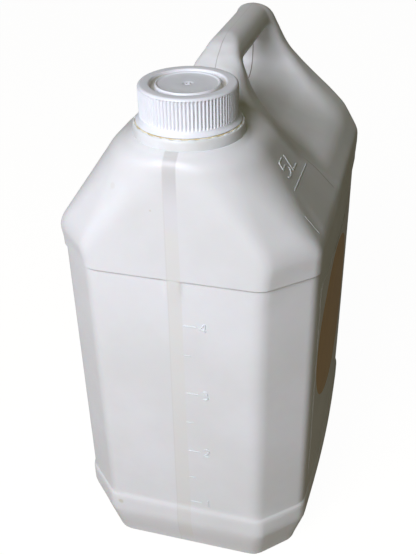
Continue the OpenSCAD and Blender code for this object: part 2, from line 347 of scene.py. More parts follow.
jugFinish = dict(
    white=colour(238, 238, 238),
    shade=colour(231, 231, 229),
    rough=0.42,
    # the view stripe: its clearer plastic below and above the lotion and at the top, and painted
    # shade along its left edge
    stripe=colour(232, 231, 226),
    stripeEmpty=colour(230, 229, 230),
    stripeTop=colour(207, 205, 202),
    stripeEdge=colour(220, 218, 212),
    stripeHeights=(0.02, 0.26),
    stripeMiddle=(-0.0008, -0.0001),
    stripeHalf=(0.0043, 0.0032),
    stripeShare=0.8,
    stripeSoft=0.0004,
    edgeShare=0.4,
    edgeWidth=0.0006,
    edgeTop=(0.266, 0.262),
    # only on the front wall, from just over the base; the lotion's level; the fade to the top
    stripeFront=(-0.085, -0.086),
    stripeFoot=(0.002, 0.012),
    fillLevel=0.229,
    levelSoft=0.004,
    topFade=(0.236, 0.264),
    # the mould's parting line over the handle and down behind its hole
    parting=colour(112, 92, 70),
    partingShare=0.34,
    partingWidth=(0.00040, 0.00014),
    partingFoot=(0.262, 0.268),
    partingStart=(-0.026, -0.022),
    partingFade=((0.0, 0.012), (1.0, 0.25)),
    holeShare=0.95,
    holeBack=(0.058, 0.062),
    holeTop=(0.278, 0.275),
    # painted shade in the crease of the rear shoulder, along y + slope * height = offset
    dirt=colour(150, 146, 130),
    dirtSlope=0.5,
    dirtOffset=0.0945,
    dirtShare=0.5,
    dirtWidth=(0.0007, 0.0001),
    dirtSides=(0.047, 0.052),
    dirtFoot=(0.2195, 0.2225),
    dirtTop=(0.244, 0.238),
    # specks and rubbed spots: place and radius in millimetres, and share
    dust=colour(205, 190, 160),
    spots=(
        ((-22.9, -79.5, 264), 1.0, 0.5),
        ((-10, -95, 238.3), 0.9, 0.45),
        ((-29.5, -89.7, 246.6), 2.2, 0.15),
        ((-41.4, -94.6, 32.4), 2.2, 0.45),
    ),
)


def addStripe(s, f, base, x, y, z):
    # a strip of clearer plastic down the front wall, narrowing a little with height
    middle = s.ramp(z, *f["stripeHeights"], to=f["stripeMiddle"], smooth=False)
    half = s.ramp(z, *f["stripeHeights"], to=f["stripeHalf"], smooth=False)
    offset = s.math("SUBTRACT", x, middle)
    onFront = s.ramp(y, *f["stripeFront"])
    soft, levelSoft = f["stripeSoft"], f["levelSoft"]
    within = s.ramp(s.math("SUBTRACT", s.math("ABSOLUTE", offset), half), soft, -soft)
    within = s.times(within, onFront, s.ramp(z, *f["stripeFoot"]))
    level = s.ramp(z, f["fillLevel"] - levelSoft, f["fillLevel"] + levelSoft)
    empty = s.mix(s.ramp(z, *f["topFade"]), f["stripeEmpty"], f["stripeTop"])
    base = s.mix(s.times(within, f["stripeShare"]), base, s.mix(level, f["stripe"], empty))
    # painted shade: a faint darker line down the stripe's left edge, below its top
    edge = s.ramp(s.math("ABSOLUTE", s.math("ADD", offset, half)), f["edgeWidth"], 0.0)
    edge = s.times(edge, onFront, s.ramp(z, *f["edgeTop"]))
    return s.mix(s.times(edge, f["edgeShare"]), base, f["stripeEdge"])


def addParting(s, f, base, x, y, z):
    # a hair line at x = 0: faint over the bar and its front leg, strong behind the hole
    line = s.ramp(s.math("ABSOLUTE", x), *f["partingWidth"])
    places, shares = f["partingFade"]
    over = s.times(
        s.ramp(z, *f["partingFoot"]),
        s.ramp(y, *f["partingStart"], to=(0.0, f["partingShare"])),
        s.ramp(y, *places, to=shares),
    )
    behind = s.ramp(z, *f["holeTop"], to=(0.0, f["holeShare"]))
    behind = s.times(s.ramp(y, *f["holeBack"]), behind)
    return s.mix(s.times(line, s.math("MAXIMUM", over, behind)), base, f["parting"])


def addDirt(s, f, base, x, y, z):
    # painted shade: a fine dark line where the rear shoulder rises out of the front one, then the
    # dust spots
    crease = s.math("ADD", s.math("MULTIPLY_ADD", z, f["dirtSlope"], y), -f["dirtOffset"])
    crease = s.times(
        s.ramp(s.math("ABSOLUTE", crease), *f["dirtWidth"]),
        s.ramp(s.math("ABSOLUTE", x), *f["dirtSides"]),
        s.ramp(z, *f["dirtFoot"]),
        s.ramp(z, *f["dirtTop"]),
    )
    base = s.mix(s.times(crease, f["dirtShare"]), base, f["dirt"])
    for point, radius, share in f["spots"]:
        base = s.mix(s.times(s.spot(point, radius), share), base, f["dust"])
    return base


def jugMaterial():
    s = Shader("white blown polyethylene")
    f = jugFinish
    x, y, z = s.axes()
    tone = s.ramp(s.noise(14.0, 4.0, 0.6), 0.35, 0.7)
    base = s.mix(tone, f["white"], f["shade"])
    for add in (addStripe, addParting, addDirt):
        base = add(s, f, base, x, y, z)
    grain = s.math("MULTIPLY", s.noise(1400.0, 2.0, 0.5), 0.12)
    s.bump(s.math("ADD", grain, s.noise(60.0, 2.0, 0.5)), 0.25, 0.0004)
    rough = s.ramp(s.noise(25.0, 3.0), 0.3, 0.7, to=(f["rough"] - 0.05, f["rough"] + 0.06))
    return s.finish(base, rough, Subsurface_Weight=0.12, Subsurface_Scale=0.004)


capFinish = dict(
    white=colour(242, 243, 246),
    shade=colour(234, 236, 240),
    stain=colour(178, 167, 130),
    stainShare=0.5,
    # the groove's inner and outer radius with their soft edges, and the height it starts at
    grooveIn=(0.0150, 0.0156),
    grooveOut=(0.0185, 0.0179),
    grooveTop=(0.2889, 0.2879),
    rough=0.38,
)


def capMaterial():
    # white plastic, with dried lotion in the ring groove: thickest at the two ends of the
    # groove, thin in front and behind
    s = Shader("white cap plastic")
    f = capFinish
    x, y, z = s.axes()
    base = s.mix(s.ramp(s.noise(40.0, 3.0), 0.35, 0.7), f["white"], f["shade"])
    r = s.fromNeck(x, y)
    across = s.times(s.ramp(r, *f["grooveIn"]), s.ramp(r, *f["grooveOut"]))
    groove = s.times(across, s.ramp(z, *f["grooveTop"]))
    ends = s.ramp(s.math("ABSOLUTE", x), 0.011, 0.016)
    patch = s.math("MAXIMUM", ends, s.ramp(s.noise(120.0, 3.0), 0.46, 0.66, to=(0.0, 0.5)))
    base = s.mix(s.times(groove, patch, f["stainShare"]), base, f["stain"])
    s.bump(s.noise(900.0, 2.0), 0.12, 0.0002)
    return s.finish(base, f["rough"], Subsurface_Weight=0.08, Subsurface_Scale=0.003)


ringFinish = dict(
    white=colour(238, 239, 240),
    shade=colour(228, 228, 224),
    residue=colour(246, 236, 208),
    residueDark=colour(222, 202, 152),
    # inside this radius and above this height it is residue, with soft edges
    residueRadius=(0.02562, 0.02557),
    residueHeight=(0.2707, 0.2709),
    rough=0.4,
)


def ringMaterial():
    s = Shader("tamper ring polyethylene")
    f = ringFinish
    x, y, z = s.axes()
    base = s.mix(s.ramp(s.noise(60.0, 3.0), 0.35, 0.7), f["white"], f["shade"])
    inGap = s.times(s.ramp(s.fromNeck(x, y), *f["residueRadius"]), s.ramp(z, *f["residueHeight"]))
    residue = s.mix(s.ramp(s.noise(240.0, 3.0), 0.4, 0.6), f["residue"], f["residueDark"])
    s.bump(s.noise(700.0, 2.0), 0.15, 0.0002)
    return s.finish(s.mix(inGap, base, residue), f["rough"], Subsurface_Weight=0.08,
                    Subsurface_Scale=0.003)


labelFinish = dict(
    film=colour(232, 230, 226),
    filmShade=colour(226, 224, 219),
    brown=colour(208, 161, 64),
    brownShade=colour(202, 154, 58),
    # the oval's middle and half sizes along the wall and up it, in metres
    middle=(-0.0105, 0.1355),
    half=(0.0495, 0.0480),
    rough=0.4,
)


def labelMaterial():
    # a plain oval field: distance from its middle, in halves of its width and height
    s = Shader("printed label film")
    f = labelFinish
    _, y, z = s.axes()
    dy = s.math("DIVIDE", s.math("SUBTRACT", y, f["middle"][0]), f["half"][0])
    dz = s.math("DIVIDE", s.math("SUBTRACT", z, f["middle"][1]), f["half"][1])
    away = s.math("SQRT", s.math("ADD", s.math("MULTIPLY", dy, dy), s.math("MULTIPLY", dz, dz)))
    film = s.mix(s.ramp(s.noise(30.0, 3.0), 0.3, 0.7), f["film"], f["filmShade"])
    field = s.mix(s.ramp(s.noise(90.0, 3.0), 0.3, 0.7), f["brown"], f["brownShade"])
    s.bump(s.noise(300.0, 2.0), 0.1, 0.0002)
    return s.finish(s.mix(s.ramp(away, 1.006, 0.994), film, field), f["rough"],
                    Specular_IOR_Level=0.3)


def plainMaterial(name, one, two, rough, scale):
    # two tones mixed by a noise of the given scale, with a finer one as bump
    s = Shader(name)
    s.bump(s.noise(scale * 6, 2.0), 0.15, 0.0003)
    return s.finish(s.mix(s.ramp(s.noise(scale, 3.0), 0.3, 0.7), one, two), rough)


materials = dict(
    jug=jugMaterial(),
    cap=capMaterial(),
    ring=ringMaterial(),
    label=labelMaterial(),
    liner=plainMaterial("foamed liner", colour(238, 240, 242), colour(228, 230, 233), 0.6, 200.0),
    lotion=plainMaterial("cream lotion", colour(244, 236, 212), colour(238, 229, 204), 0.3, 30.0),
)
print("materials made")

jug = dict(
    # plan of the upright walls
    halfWidth=68.3,
    halfDepth=95.35,
    frontChamfer=22.8,
    leftCut=0.7,
    rightCut=3.1,
    cutFade=([30, 42, 190, 205], [0.2, 1, 1, 0.5]),
    rearChamfer=22.4,
    cornerBlend=3.0,
    frontBlend=3.5,
    # the back wall and the shoulder's front plane lie this much inside the half depth
    easeIn=0.05,
    # heights up the wall and how far it is drawn in there; the sides less in their panels
    wallInsets=(
        [0, 1.5, 5, 24.5, 34.5, 36.3, 37.7, 38.9, 40.5, 60, 120, 185, 199.6, 200.8, 213, 300],
        [6.6, 6.3, 5.5, 0, 0, 0.3, 0.95, 1.45, 1.7, 1.7, 1.7, 1.7, 1.7, 0, 0, 0],
    ),
    sideRecess=1.0,
    panelFoot=30,
    # above the lip the sides stand out again, more on the left
    upperSide=(0.95, 0.5),
    upperSideFrom=204,
    upperSideOver=8,
    # the stripe runs over the lip on a slope of its own: heights, insets, middle and half width
    stripeInsets=([180, 186, 204], [1.7, 1.7, 0]),
    stripeFrom=180,
    stripeMiddle=0.9,
    stripeHalf=4.8,
    stripeEdge=1.4,
    # bulge of the side walls by height, and of the front and back panels
    sideCrown=([0, 24, 38, 70, 120, 170, 201, 215], [1, 2.6, 2.8, 3, 3, 3, 1.5, 0]),
    sideCrownHalf=75,
    frontCrown=1.6,
    frontCrownHalf=46,
    panelHeights=(36.7, 164.3),
    panelBow=0.6,
    frontLean=([201, 214, 240, 262], [0.3, 0.2, 0, 0.3]),
    # front shoulder: slope of its sides in degrees, where they rise from, and its corner planes
    sideSlope=55.6,
    sideFoot=215.4,
    cornerNormal=(0.603, -0.68, 0.417),
    cornerPoint=(46.7, -86.1, 229.4),
    shoulderBlend=([210, 225, 240, 255, 264], [3, 5, 8, 10.5, 10]),
    crownHeight=265.5,
    crownFall=0.1,
    crownRadius=28,
    crownBlend=7,
    # where the two shoulders meet each other, and all of them the upright wall, front and back
    seamBlend=4,
    lipBlend=([-40, 0], [3, 1.6]),
    footBlend=1.5,
    # half width of the back of the shoulders as it flares up into the handle
    flare=([200, 214, 228, 233.5, 238, 243.5, 249, 255, 262, 268, 272, 278, 284, 300],
           [101, 83, 65, 57.9, 52.2, 44.5, 36.9, 29.9, 22.9, 17.6, 14.6, 11.2, 8.6, 6]),
    flareTop=289.5,
    flareBlend=1.2,
    flareTopBlend=10,
    # shares that turn a level offset into a distance across a slant
    flareSlant=0.72,
    rearSlant=0.87,
    backSlant=0.95,
    legSlant=0.85,
    # rear shoulder: slope of its sides, lean of its corner planes, and the foot of the slope
    # along the crease, which itself leans back with height
    rearSlope=52.3,
    rearLean=([212, 219, 226.6, 233, 241, 250, 263, 290], [0, 0, 1.1, 2.1, 6.4, 12.6, 22, 39]),
    crease=([-30, -18, -8, 10, 30, 75], [213.5, 216.0, 218.7, 219.5, 219.9, 220.6]),
    creaseLean=0.9,
    creaseHeight=221,
    rearBlend=2.5,
    backBlend=5,
    legBlend=6,
    backWall=([214, 250, 270, 285, 292, 300], [95.35, 94, 91.6, 86, 79, 69]),
    # handle: its bar, the flare of its roots, and the front of its leg
    barHalf=10.1,
    barTop=291.8,
    barUnder=277.5,
    barBlend=9.5,
    topBlend=12.2,
    backTopBlend=8,
    handleBlend=6,
    handleFoot=235,
    footJoin=3,
    rootFlare=([246, 254, 261, 267, 272, 276, 281, 286], [14, 9.8, 7.2, 5.3, 4.1, 3.1, 1.5, 0.2]),
    legFront=([200, 243, 250, 262, 280, 285, 289, 293], [-60, -58, -31, -20, -11.6, -7, -1, 12]),
    legFrontBlend=7,
    legFlare=1.5,
    legFlareTop=287,
    legFlareFade=(8, 6),
    legBackNormal=(0, 3, 1),
    legBackPoint=(0, 7.5, 274.5),
    # inner corners of the handle's hole: leg and bar, floor and back, and between those two
    underBlend=7,
    holeCorner=16,
    holeBlend=8,
    # the scoop for the fingers: its front plane, floor and back wall, and the fillet between them
    scoopFrontNormal=(1.4, 1, 1.43),
    scoopFrontPoint=(0, 12, 268),
    scoopFloor=247.3,
    scoopFall=0.25,
    scoopBack=77.6,
    scoopFillet=([0, 36], [16, 36]),
    scoopBlend=8,
    scoopFrontBlend=6,
    scoopBackBlend=4,
    # root of the neck, and the pushed-up middle of the base
    rootRadius=27.8,
    rootTop=265.9,
    rootFoot=250,
    rootBlend=1,
    rootJoin=2.5,
    dishHalf=(49, 76),
    dishCorner=108,
    dishCornerBlend=4,
    dishDepth=3,
    dishBlend=2,
    dishEdge=1.5,
)


def bulge(t, half):
    # one in the middle of a wall, falling off along a cosine to none at its half width
    return np.cos(np.clip(t / half, -1, 1) * np.pi / 2)


def wallField(p):
    # upright walls: an octagon whose insets and bulges change with height
    x, y, z = p
    j = jug
    ax, w, d = np.abs(x), j["halfWidth"], j["halfDepth"]
    inset = np.interp(z, *j["wallInsets"])
    sideInset = np.where(z > j["panelFoot"], np.minimum(inset, j["sideRecess"]), inset)
    share = np.clip((z - j["upperSideFrom"]) / j["upperSideOver"], 0, 1)
    sideInset = sideInset - np.where(x < 0, *j["upperSide"]) * share
    slope = np.minimum(inset, np.interp(z, *j["stripeInsets"]))
    inStripe = np.clip((j["stripeHalf"] - np.abs(x + j["stripeMiddle"])) / j["stripeEdge"], 0, 1)
    frontInset = inset + (slope - inset) * inStripe * (z > j["stripeFrom"])
    low, tall = j["panelHeights"]
    bow = np.clip(np.sin(np.pi * np.clip((z - low) / tall, 0, 1)), 0, 1) ** j["panelBow"]
    side = ax - w + sideInset - np.interp(z, *j["sideCrown"]) * bulge(y, j["sideCrownHalf"])
    across = j["frontCrown"] * bow * bulge(ax, j["frontCrownHalf"])
    front = -y - d + frontInset - across + np.interp(z, *j["frontLean"])
    rear = y - d + j["easeIn"] + inset - across
    cutY = j["frontChamfer"]
    cutX = cutY + np.where(x > 0, j["rightCut"], j["leftCut"]) * np.interp(z, *j["cutFade"])
    frontCorner = ((ax - w) * cutY + (cutY - y - d) * cutX) / np.hypot(cutX, cutY) + sideInset
    k = j["cornerBlend"]
    wall = smoothMax(smoothMax(side, rearCorner(p) + sideInset, k), rear, k)
    return smoothMax(smoothMax(wall, frontCorner, k), front, j["frontBlend"])


def rearCorner(p):
    # distance from the chamfer at the two rear corners
    j = jug
    return (np.abs(p[0]) + p[1] - (j["halfWidth"] + j["halfDepth"] - j["rearChamfer"])) / 2**0.5


def shoulderField(q, fingersFront):
    # front shoulder: side, corner and front planes blended ever more towards the neck
    j = jug
    z = q[2]
    slope = np.radians(j["sideSlope"])
    sidePlane = planeField(q, (np.sin(slope), 0, np.cos(slope)), (j["halfWidth"], 0, j["sideFoot"]))
    cornerPlane = planeField(q, j["cornerNormal"], j["cornerPoint"])
    k = np.interp(z, *j["shoulderBlend"])
    around = np.hypot(q[0], q[1] - neckY)
    frontPlane = -q[1] - j["halfDepth"] + j["easeIn"]
    field = smoothMax(smoothMax(sidePlane, cornerPlane, k), frontPlane, k)
    crown = z - j["crownHeight"] + j["crownFall"] * (around - j["crownRadius"])
    field = smoothMax(field, crown, j["crownBlend"])
    return smoothMax(field, fingersFront, j["scoopFrontBlend"])


def backField(q, backWall, legFront):
    # back shoulder: a flared section, cut by the side slopes, the corner planes and the back
    j = jug
    ax, y, z = q
    slope = np.radians(j["rearSlope"])
    foot = np.interp(y + j["creaseLean"] * (z - j["creaseHeight"]), *j["crease"])
    side = (ax - j["halfWidth"]) * np.sin(slope) + (z - foot) * np.cos(slope)
    flare = (ax - np.interp(z, *j["flare"])) * j["flareSlant"]
    field = smoothMax(smoothMax(flare, side, j["flareBlend"]), backWall, j["backBlend"])
    corner = (rearCorner(q) + np.interp(z, *j["rearLean"])) * j["rearSlant"]
    field = smoothMax(smoothMax(field, corner, j["rearBlend"]), legFront, j["legBlend"])
    return smoothMax(field, z - j["flareTop"], j["flareTopBlend"])


def handleField(q, floor, backWall, legFront):
    # handle: a plate with a hole, rounded all along, its roots flaring out sideways
    j = jug
    ax, y, z = q
    legBack = planeField(q, j["legBackNormal"], j["legBackPoint"])
    under = smoothMin(legBack, j["barUnder"] - z, j["underBlend"])
    behind = smoothMin(floor, j["scoopBack"] - y, j["holeCorner"])
    hole = smoothMin(under, behind, j["holeBlend"])
    overY, overZ = j["legFlareFade"]
    forward = np.clip(-y / overY, 0, 1) * np.clip((j["legFlareTop"] - z) / overZ, 0, 1)
    flare = np.interp(z, *j["rootFlare"]) + j["legFlare"] * forward
    field = smoothMax(ax - j["barHalf"] - flare, hole, j["barBlend"])
    field = smoothMax(field, z - j["barTop"], j["topBlend"])
    field = smoothMax(smoothMax(field, legFront, j["legFrontBlend"]), backWall, j["backTopBlend"])
    return smoothMax(field, j["handleFoot"] - z, j["footJoin"])


def jugField(p):
    # Signed distance, roughly, from the jug's outer wall. The fingers' space is cut from both
    # shoulders by four planes, the handle joins on, and the wall bounds them all.
    x, y, z = p
    j = jug
    q = (np.abs(x), y, z)
    fingersFront = planeField(q, j["scoopFrontNormal"], j["scoopFrontPoint"])
    floor = planeField(q, (j["scoopFall"], 0, 1), (0, 0, j["scoopFloor"]))
    backWall = (y - np.interp(z, *j["backWall"])) * j["backSlant"]
    legFront = (np.interp(z, *j["legFront"]) - y) * j["legSlant"]
    fingers = smoothMin(fingersFront, floor, j["scoopBlend"])
    fingers = smoothMin(fingers, j["scoopBack"] - y, np.interp(q[0], *j["scoopFillet"]))
    front = smoothMax(shoulderField(q, fingersFront), fingers, j["scoopFrontBlend"])
    back = smoothMax(backField(q, backWall, legFront), fingers, j["scoopBackBlend"])
    handle = handleField(q, floor, backWall, legFront)
    upper = smoothMin(smoothMin(front, back, j["seamBlend"]), handle, j["handleBlend"])
    body = smoothMax(wallField(p), upper, np.interp(y, *j["lipBlend"]))
    body = smoothMax(body, -z, j["footBlend"])
    around = np.hypot(x, y - neckY)
    root = smoothMax(around - j["rootRadius"], z - j["rootTop"], j["rootBlend"])
    root = smoothMax(root, j["rootFoot"] - z, j["rootBlend"])
    return smoothMin(body, root, j["rootJoin"])


def dishedField(p):
    # the jug with the middle of its base pushed up inside a standing rim
    j = jug
    ax, ay, z = np.abs(p[0]), np.abs(p[1]), p[2]
    edge = np.maximum(ax - j["dishHalf"][0], ay - j["dishHalf"][1])
    edge = smoothMax(edge, (ax + ay - j["dishCorner"]) / 2**0.5, j["dishCornerBlend"])
    dish = smoothMax((edge + z) / 2**0.5, z - j["dishDepth"], j["dishBlend"])
    return smoothMax(jugField(p), -dish, j["dishEdge"])


def strokePoints(kind):
    # pen strokes of a digit or sign, in a box one unit high with its middle at zero
    def arc(cx, cy, rx, ry, a, b, n=12):
        t = np.radians(np.linspace(a, b, n))
        return np.stack([cx + rx * np.cos(t), cy + ry * np.sin(t)], -1)

    def line(*pts):
        return np.array(pts, float)

    strokes = {
        "1": [line((-0.12, 0.32), (0.06, 0.5), (0.06, -0.5))],
        "2": [np.concatenate([arc(0, 0.22, 0.28, 0.28, 160, -35),
                              line((-0.3, -0.5), (0.32, -0.5))])],
        "3": [arc(0, 0.25, 0.25, 0.25, 150, -90), arc(0, -0.25, 0.29, 0.25, 90, -150)],
        "4": [line((0.14, -0.5), (0.14, 0.5), (-0.36, -0.18), (0.38, -0.18))],
        "5": [line((0.28, 0.5), (-0.22, 0.5), (-0.26, 0.06)),
              np.concatenate([line((-0.26, 0.06)), arc(0, -0.19, 0.3, 0.31, 110, -150)])],
        "L": [line((-0.24, 0.5), (-0.24, -0.5), (0.28, -0.5))],
    }
    return strokes[kind]


def resample(path, step):
    # points at even distances along a polyline
    lengths = np.concatenate([[0], np.cumsum(np.linalg.norm(np.diff(path, axis=0), axis=1))])
    count = max(3, int(np.ceil(lengths[-1] / step)) + 1)
    at = np.linspace(0, lengths[-1], count)
    return np.stack([np.interp(at, lengths, path[:, k]) for k in range(path.shape[1])], -1)


def onSurface(points, toward, rounds=12):
    # slides points along one direction until they lie on the jug's wall
    p = points.copy()
    for _ in range(rounds):
        f = jugField(tuple(p.T))
        e = 0.1
        ahead, behind = jugField(tuple((p + e * toward).T)), jugField(tuple((p - e * toward).T))
        slope = (ahead - behind) / (2 * e)
        p -= (f / np.where(np.abs(slope) < 0.2, 0.2, slope))[:, None] * toward
    return p


def surfaceNormal(p, e=0.3):
    # the field's slope at each point, one unit long
    n = np.stack([jugField(tuple((p + e * u).T)) - jugField(tuple((p - e * u).T))
                  for u in np.eye(3)], -1)
    return n / np.linalg.norm(n, axis=1, keepdims=True)


def beadStrip(path, radius, sides=8, sink=0.2, blunt=16):
    # a low bead along a path on the wall: rings of points round the path, closed at both ends,
    # which the power blunt keeps full almost to the tip
    along = np.gradient(path, axis=0)
    along /= np.linalg.norm(along, axis=1, keepdims=True)
    out = surfaceNormal(path)
    out -= (out * along).sum(1, keepdims=True) * along
    out /= np.linalg.norm(out, axis=1, keepdims=True)
    acrossPath = np.cross(along, out)
    ends = np.sqrt(np.clip(1 - np.linspace(-1, 1, len(path)) ** blunt, 0, 1))
    ends[[0, -1]] = 0
    a = np.linspace(0, 2 * np.pi, sides, endpoint=False)
    turn, rise = np.cos(a)[None, :, None], np.sin(a)[None, :, None]
    ring = turn * acrossPath[:, None] + rise * out[:, None]
    p = path[:, None] - sink * radius * out[:, None] + ring * (radius * ends)[:, None, None]
    return weld(p.reshape(-1, 3), gridFaces(len(path), sides, False, True))


marks = dict(
    full={4: 174.0, 3: 129.5, 2: 86.8, 1: 44.5},
    halves=(155.0, 108.6, 65.5),
    front=-96.0,
    lineStart=3.4,
    halfStart=3.0,
    fullEnd=10.8,
    halfEnd=7.3,
    digitX=14.2,
    digitHeight=5.6,
    bead=0.4,
    faintBead=0.3,
    faintBelow=60,
    digitExtra=0.07,
    # the volume mark on the right shoulder: each sign's middle, width and height
    volumeAt=(51.6, -44.0, 239.4),
    volumeRise=10.3,
    volumeSigns=(("5", -11.4, 14.5, 9.4), ("L", -0.3, 17.0, 9.4)),
    volumeBead=0.55,
    levelEnds=(-17.4, 15.5),
    levelBead=0.4,
    scratch=((58.0, -67.5, 230.0), (65.4, -64.1, 219.1)),
    scratchBead=0.24,
    step=0.5,
)


def litreMarks():
    # lines and numbers raised on the front wall beside the stripe, the volume mark on the right
    # shoulder, read from that side, and a scratch: pen strokes laid on the wall as low beads
    m = marks
    toward = np.array([0, 1.0, 0])
    strips = []
    for number, z in m["full"].items():
        bead = m["bead"] if z > m["faintBelow"] else m["faintBead"]
        ends = np.array([[m["lineStart"], m["front"], z], [m["fullEnd"], m["front"], z]])
        strips.append((ends, toward, bead))
        for stroke in strokePoints(str(number)):
            path = np.stack([m["digitX"] + stroke[:, 0] * m["digitHeight"],
                             np.full(len(stroke), m["front"]),
                             z + stroke[:, 1] * m["digitHeight"]], -1)
            strips.append((path, toward, bead + m["digitExtra"]))
    for z in m["halves"]:
        ends = np.array([[m["halfStart"], m["front"], z], [m["halfEnd"], m["front"], z]])
        strips.append((ends, toward, m["faintBead"]))
    slope = np.radians(jug["sideSlope"])
    inward = -np.array([np.sin(slope), 0, np.cos(slope)])
    uphill = np.array([-np.cos(slope), 0, np.sin(slope)])
    level, sideways = np.array(m["volumeAt"]), toward
    strips.append((level + np.array(m["levelEnds"])[:, None] * sideways, inward, m["levelBead"]))
    for sign, middle, wide, high in m["volumeSigns"]:
        for stroke in strokePoints(sign):
            at = level + (middle + stroke[:, :1] * wide) * sideways
            at = at + (m["volumeRise"] + stroke[:, 1:] * high) * uphill
            strips.append((at, inward, m["volumeBead"]))
    strips.append((np.array(m["scratch"]), inward, m["scratchBead"]))
    return joinParts([beadStrip(onSurface(resample(path, m["step"]), direction), bead)
                      for path, direction, bead in strips])


neck = dict(
    steps=144,
    coreRadius=19.5,
    crestRadius=20.55,
    # the thread: its pitch and the height it starts from, how narrow its ridge is, and its ends
    pitch=4.0,
    threadFrom=271.2,
    ridge=5.0,
    threadEnds=(270.6, 282.0),
    endLength=1.2,
    threaded=(268.95, 282.6, 0.35),
    # radius and height below and above the threaded stretch
    foot=[(0, 262), (24.6, 262), (25.0, 262.4), (25.0, 268.3), (24.7, 268.7), (20.6, 268.8)],
    head=[(19.5, 283.0), (19.3, 283.3), (19.0, 283.4), (18.3, 283.4), (18.05, 283.2),
          (18.0, 282.8), (18.0, 264.5), (17.5, 264.0), (0, 264.0)],
)


def neckGrid():
    # collar, threaded neck and rim: radius as a function of height, plus a ridge that climbs one
    # pitch for each turn, then down the mouth to a floor inside the shoulder
    n = neck
    outer = gridLine([n["threaded"]])
    a = np.linspace(0, 2 * np.pi, n["steps"], endpoint=False)[:, None]
    turn = (outer[None, :] - n["threadFrom"] - n["pitch"] * a / (2 * np.pi)) / n["pitch"]
    ridge = np.clip(1 - np.abs(turn - np.round(turn)) * n["ridge"], 0, 1)
    low, high = n["threadEnds"]
    fadeIn = np.clip((outer[None, :] - low) / n["endLength"], 0, 1)
    fade = fadeIn * np.clip((high - outer[None, :]) / n["endLength"], 0, 1)
    r = n["coreRadius"] + (n["crestRadius"] - n["coreRadius"]) * np.sqrt(ridge) * fade
    foot, head = np.array(n["foot"]), np.array(n["head"])
    radius = np.concatenate([np.repeat(foot[None, :, 0], n["steps"], 0), r,
                             np.repeat(head[None, :, 0], n["steps"], 0)], 1)
    height = np.concatenate([foot[:, 1], outer, head[:, 1]])[None, :] + 0 * a
    p = np.stack([radius * np.cos(a), neckY + radius * np.sin(a), height], -1)
    faces = gridFaces(n["steps"], height.shape[1], True, False)
    return weld(p.reshape(-1, 3), faces[:, ::-1])


fine = 1.7  # grid step in millimetres, finer over the panels' ledges
jugGrid = (
    gridLine([(-73, 73, fine)]),
    gridLine([(-97.2, 97.2, fine)]),
    gridLine([(-1, 6, 1.0), (6, 24, 3.0), (24, 34, 2.5), (34, 41, 0.5), (41, 196, 4.0),
              (196, 199.2, 1.6), (199.2, 201.4, 0.3), (201.4, 213, 2.3), (213, 293.4, fine)]),
)
wallPart = netSurface(dishedField, *jugGrid)
print("jug wall:", len(wallPart[0]), "points", len(wallPart[1]), "faces")
points, faces = joinParts([wallPart, neckGrid(), litreMarks()])
jugBody = addObject("jugBody", points, faces, materials["jug"], "jug")
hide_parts("jug_body")
print("jug made")


lotion = dict(
    wall=1.6,
    level=229.0,
    edge=0.6,
    grid=(
        gridLine([(-72, 72, 4.0)]),
        gridLine([(-97, 97, 4.0)]),
        gridLine([(-1, 8, 1.5), (8, 224, 6.0), (224, 231, 1.5)]),
    ),
)


def lotionField(p):
    # the jug drawn in by its wall and cut off level
    return smoothMax(dishedField(p) + lotion["wall"], p[2] - lotion["level"], lotion["edge"])


points, faces = netSurface(lotionField, *lotion["grid"])
lotionFill = addObject("lotionFill", points, faces, materials["lotion"], "jug")
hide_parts("lotion")
print("lotion made")

cap = dict(
    ribs=84,
    perRib=8,
    ribDepth=1.1,
    ribRadius=23.55,
    ribLow=274.4,
    ribHigh=288.3,
    ribFade=0.5,
    ribPower=1.6,
    # heights along the ribs, closer together at their ends
    ribHeights=[288.2, 288.0, 287.7, *np.linspace(287.2, 275.2, 10), 274.8, 274.5, 274.35],
    # outline of the cap, as radius and height, from the middle of the top out, down and in again
    top=[(0.0, 288.0), (0.5, 288.1), (0.9, 288.6), (1.3, 288.5), (1.7, 288.1), (2.2, 288.5),
         (3.0, 288.6), (8.0, 288.62), (13.8, 288.6), (14.3, 288.7), (14.6, 289.1), (15.0, 289.2),
         (15.3, 289.0), (15.5, 288.1), (15.9, 287.3), (16.5, 287.2), (17.1, 287.2), (17.6, 287.4),
         (17.9, 288.3), (18.1, 288.95), (18.35, 289.25), (18.65, 289.38), (18.85, 289.4),
         (21.95, 289.4), (22.15, 289.39), (22.6, 289.3), (23.0, 289.05), (23.3, 288.65),
         (23.45, 288.4)],
    foot=[(23.62, 274.1), (23.8, 273.6), (24.4, 272.9), (25.1, 272.4), (25.3, 272.15),
          (25.3, 271.9), (25.1, 271.75), (22.4, 271.75), (21.6, 272.1), (20.95, 273.6),
          (20.85, 274.2), (20.85, 284.6), (20.5, 285.0), (13.6, 285.0), (13.4, 285.3),
          (13.4, 286.2), (13.0, 286.4), (0.0, 286.4)],
)


